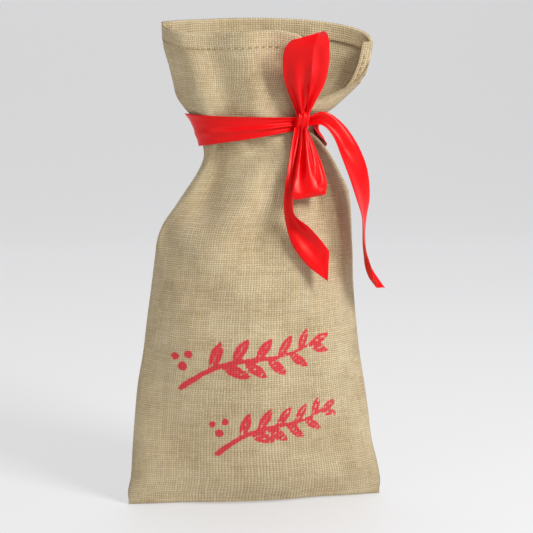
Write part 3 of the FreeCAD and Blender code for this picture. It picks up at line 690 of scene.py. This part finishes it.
def neck_band():
    """The ribbon round the neck, from the knot's left end round the left side, the back and the right side
    to the knot's right end. Its edges run level behind and close in on the knot in front. Long soft folds
    follow it: cosines across its width, deeper towards the knot."""
    wide, front, back, last = 37, 84, 110, 26
    # From the knot over the front to the left seam, over the back, and over the front to the knot.
    across_front = np.linspace(0.62, -1.0, front)
    across_back = np.linspace(-1.0, 1.0, back)
    across_last = np.linspace(1.0, 0.66, last)
    across = np.concatenate([across_front, across_back[1:], across_last[1:]])
    side = np.concatenate([np.full(front, -1.0), np.full(back - 1, 1.0), np.full(last - 1, -1.0)])
    count = len(across)
    travel = np.linspace(0, 1, count)
    places = [0, 0.2, 0.38, 0.5, 0.9, 1.0]
    top_z = through(travel, places, [KNOT[2] + 2.6, NECK_Z + 9.4, BAND_HIGH[2] + 0.8,
                                     BAND_HIGH[2], BAND_HIGH[2], KNOT[2] + 3.6])
    low_z = through(travel, places, [KNOT[2] - 3.0, NECK_Z - 7.0, BAND_LOW[2] - 1.6,
                                     BAND_LOW[2], BAND_LOW[2], KNOT[2] - 3.2])
    part = np.linspace(-1, 1, wide)
    height = (top_z + low_z)[:, None] / 2 + (top_z - low_z)[:, None] / 2 * part[None, :]
    gathered = np.clip(1 - (top_z - low_z) / (RIBBON_WIDTH + 2.0), 0, 1)
    waves = (np.cos(part[None, :] * 5.6 + 0.9 + 2.2 * travel[:, None])
             + 0.5 * np.cos(part[None, :] * 10.5 + 1.0 + travel[:, None] * 5))
    lift = 1.7 + (0.45 + 1.7 * gathered[:, None]) * (1 + waves * 0.62)
    points = np.empty((count, wide, 3))
    for hand in (-1.0, 1.0):
        rows_here = side == hand
        points[rows_here] = bag_surface(across[rows_here][:, None], height[rows_here], hand,
                                        lift=lift[rows_here] + (1.4 if hand < 0 else 0.6),
                                        creased=0.12 if hand < 0 else 1.0)
    # Smoothed, so that the ribbon runs round the seams.
    for _ in range(5):
        points[1:-1] = (points[:-2] + 2 * points[1:-1] + points[2:]) / 4
    length = float(np.linalg.norm(np.diff(points[:, wide // 2], axis=0), axis=1).sum())
    uvs = np.stack(np.broadcast_arrays(part[None, :] * RIBBON_WIDTH / 2, (travel * length)[:, None]),
                   axis=-1)
    return thick_sheet("neck_ribbon", points, RIBBON, uvs, [SATIN]), length


band, band_length = neck_band()
finish_ribbon(band, "neck_band", "bag")


def knot_wrap():
    """The knot: a barrel across the bow, closed at its ends. Its radius follows the fourth root of one less
    the fourth power of the place along it, with soft lengthwise folds round it, pinched at the middle."""
    around, along = 72, 33
    turn = np.linspace(0, 2 * math.pi, around + 1)[:-1]
    part = np.linspace(-1, 1, along)
    body = np.maximum(1 - part ** 4, 0) ** 0.25
    folds = 0.55 * np.cos(part[None, :] * 9.0 + 0.8 * np.sin(2 * turn)[:, None])
    slant = 0.28
    radius_y = (6.4 * body)[None, :] + folds * body[None, :]
    radius_z = (8.6 * body)[None, :] + folds * body[None, :]
    y = KNOT[1] - 0.8 + radius_y * np.cos(turn)[:, None]
    z = KNOT[2] + 0.3 + radius_z * np.sin(turn)[:, None]
    x = KNOT[0] + 5.2 * part[None, :] + slant * radius_z * np.sin(turn)[:, None] * 0.4
    points = np.stack(np.broadcast_arrays(x, y, z), axis=-1)
    uvs = np.stack(np.broadcast_arrays(part[None, :] * RIBBON_WIDTH / 2, turn[:, None] * 7.5), axis=-1)
    quads = grid_faces(around, along, ring=True)
    return make_mesh("bow_knot", points.reshape(-1, 3), quads, uvs.reshape(-1, 2), materials=[SATIN])


knot = knot_wrap()
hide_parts("knot")
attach(knot, "bag")

KX, KY, KZ = KNOT
# The upper loop: up its front layer, over the top and down its back layer to the knot.
upper, upper_length = ribbon_strip("upper_bow_loop", [
    (KX - 0.6, KY - 4.5, KZ + 5, 3.2, 0.0, 0.3),
    (KX - 2.6, KY - 9.0, KZ + 14, 5.4, -0.8, 0.6),
    (KX - 5.4, KY - 16.0, KZ + 27, 8.8, -2.6, 0.4),
    (KX - 6.8, KY - 22.5, KZ + 42, 10.0, -3.0, 1.0),
    (KX - 5.6, KY - 27.4, KZ + 53, 10.2, -2.0, 2.0),
    (KX - 0.8, KY - 28.0, KZ + 59.0, 10.3, 0.6, 3.0),
    (KX + 4.0, KY - 24.0, KZ + 58.0, 10.0, 2.8, 2.8),
    (KX + 7.4, KY - 18.5, KZ + 47, 9.4, 3.8, 1.0),
    (KX + 7.0, KY - 12.5, KZ + 31, 8.6, 4.4, -0.4),
    (KX + 3.6, KY - 7.0, KZ + 15, 5.0, 2.4, -0.4),
    (KX + 0.9, KY - 3.0, KZ + 5, 3.0, 0.8, 0.0),
], folds=3)
finish_ribbon(upper, "upper_loop", "upper_loop")

# The lower loop: down its front layer, round the bottom and up its back layer.
lower, lower_length = ribbon_strip("lower_bow_loop", [
    (KX - 0.5, KY - 4.0, KZ - 5, 3.2, 0.0, 0.0),
    (KX - 1.6, KY - 9.5, KZ - 16, 5.2, -0.6, 0.2),
    (KX - 2.6, KY - 14.5, KZ - 30, 8.2, -0.8, 0.4),
    (KX - 2.6, KY - 19.0, KZ - 42, 10.2, -0.4, 0.6),
    (KX - 0.4, KY - 21.0, KZ - 50.0, 10.4, 0.4, 1.2),
    (KX + 3.2, KY - 19.0, KZ - 52.4, 10.4, 1.4, 1.6),
    (KX + 6.4, KY - 15.6, KZ - 47, 9.8, 3.4, 1.6),
    (KX + 7.2, KY - 11.8, KZ - 36, 8.2, 4.2, 1.0),
    (KX + 5.0, KY - 7.0, KZ - 20, 5.4, 2.6, 0.4),
    (KX + 1.2, KY - 2.5, KZ - 5, 3.0, 0.8, 0.0),
], folds=3)
finish_ribbon(lower, "lower_loop", "lower_loop")

# The front tail: down beside the lower loop, a half turn, then out flat to its slanted end.
tail_front, front_length = ribbon_strip("front_bow_tail", [
    (KX - 3.0, KY - 5.5, KZ - 4, 2.8, -0.5, 0.6),
    (KX - 5.6, KY - 12.5, KZ - 20, 3.6, -1.6, 0.8),
    (KX - 9.0, KY - 19.5, KZ - 36, 3.4, -2.8, 0.6),
    (KX - 11.6, KY - 23.4, KZ - 52, 2.4, -4.6, 0.4),
    (KX - 11.0, KY - 24.4, KZ - 64, 2.4, -5.4, 1.6),
    (KX - 4.6, KY - 25.0, KZ - 78, 5.6, -3.0, 6.0),
    (KX + 5.0, KY - 25.0, KZ - 91, 4.4, -0.6, 9.2),
    (KX + 15.4, KY - 24.6, KZ - 101.0, 0.4, 0.0, 10.8),
], folds=2)
finish_ribbon(tail_front, "front_tail", "front_tail")

# The side tail: an arch out of the knot's right end, down beside the bag with a half turn, to its tip.
tail_side, side_length = ribbon_strip("side_bow_tail", [
    (KX + 5.0, KY - 2.0, KZ + 0.0, 0.5, 0.4, 3.4),
    (KX + 14.0, KY - 4.0, KZ + 1.5, 1.2, 2.0, 4.6),
    (KX + 23.4, KY - 5.6, KZ - 6.0, 4.0, 5.0, 4.6),
    (KX + 32.0, KY - 6.5, KZ - 20.0, 7.0, 5.6, 3.6),
    (KX + 38.8, KY - 7.0, KZ - 35.5, 7.8, 6.2, 2.6),
    (KX + 43.0, KY - 7.0, KZ - 54.0, 6.4, 8.0, 1.4),
    (KX + 44.0, KY - 6.5, KZ - 69.0, 3.6, 9.6, 0.6),
    (KX + 44.8, KY - 5.5, KZ - 88.0, 2.4, 10.0, 0.4),
    (KX + 47.2, KY - 5.0, KZ - 101.0, 1.6, 9.6, 0.8),
    (KX + 50.4, KY - 4.0, KZ - 111.0, 1.4, 7.4, 1.8),
    (KX + 56.6, KY - 4.0, KZ - 119.5, 4.6, 6.4, -3.6),
], folds=2)
finish_ribbon(tail_side, "side_tail", "side_tail")

# ---------------------------------------------------------------------------------------------
# Floor, light and camera
# ---------------------------------------------------------------------------------------------


def stage_surface():
    """Floor and wall in one sweep: level out to 1.5 m behind, then a quarter circle of 0.8 m up a wall."""
    bend = np.linspace(0, math.pi / 2, 24)
    y = np.concatenate([[-4000.0], 1500 + 800 * np.sin(bend), [2300.0]])
    z = np.concatenate([[0.0], 800 * (1 - np.cos(bend)), [4000.0]])
    x = np.array([-5000.0, 5000.0])
    points = np.stack(np.broadcast_arrays(x[None, :], y[:, None], z[:, None]), axis=-1)
    material, tree = new_material("pale_paper_sweep")
    shader = add(tree, "ShaderNodeBsdfPrincipled", None,
                 {"Base Color": linear("#A2A2A2"), "Roughness": 0.5, "Specular IOR Level": 0.3,
                  "Emission Color": linear("#F0F0F2"), "Emission Strength": 0.5})
    add(tree, "ShaderNodeOutputMaterial", {"Surface": shader.outputs[0]})
    return make_mesh("paper_sweep", points.reshape(-1, 3), grid_faces(len(y), 2), materials=[material])


stage_surface()


def area_light(name, place, target, size, power):
    """A rectangular softbox at a place, turned to a target. Metres and watts."""
    lamp = bpy.data.lights.new(name, "AREA")
    lamp.shape, lamp.size, lamp.size_y = "RECTANGLE", size[0], size[1]
    lamp.energy = power
    holder = bpy.data.objects.new(name, lamp)
    holder.location = place
    aim = np.array(target) - np.array(place)
    holder.rotation_euler = Vector(aim).to_track_quat("-Z", "Y").to_euler()
    bpy.context.collection.objects.link(holder)


area_light("key_softbox", (0.75, -0.85, 0.95), (0.0, 0.0, 0.2), (0.4, 0.5), 16.0)
area_light("fill_softbox", (-1.2, -0.9, 0.6), (0.0, 0.0, 0.2), (0.9, 1.0), 2.6)
area_light("top_softbox", (0.0, 0.4, 1.6), (0.0, 0.0, 0.2), (1.2, 0.8), 5.5)
world = bpy.data.worlds.new("studio")
world.use_nodes = True
world.node_tree.nodes["Background"].inputs["Color"].default_value = linear("#F8F8F8")
world.node_tree.nodes["Background"].inputs["Strength"].default_value = 0.42
bpy.context.scene.world = world
bpy.context.scene.view_settings.view_transform = "Standard"

camera = bpy.data.cameras.new("camera")
camera.lens, camera.sensor_width = 85.0, 36.0
holder = bpy.data.objects.new("camera", camera)
AZIMUTH, ELEVATION, DISTANCE = math.radians(-8.0), math.radians(8.0), 0.93
target = np.array([0.0078, 0.0, 0.177])
away = np.array([math.sin(AZIMUTH) * math.cos(ELEVATION), -math.cos(AZIMUTH) * math.cos(ELEVATION),
                 math.sin(ELEVATION)])
holder.location = target + away * DISTANCE
holder.rotation_euler = Vector(-away).to_track_quat("-Z", "Y").to_euler()
bpy.context.collection.objects.link(holder)
bpy.context.scene.camera = holder
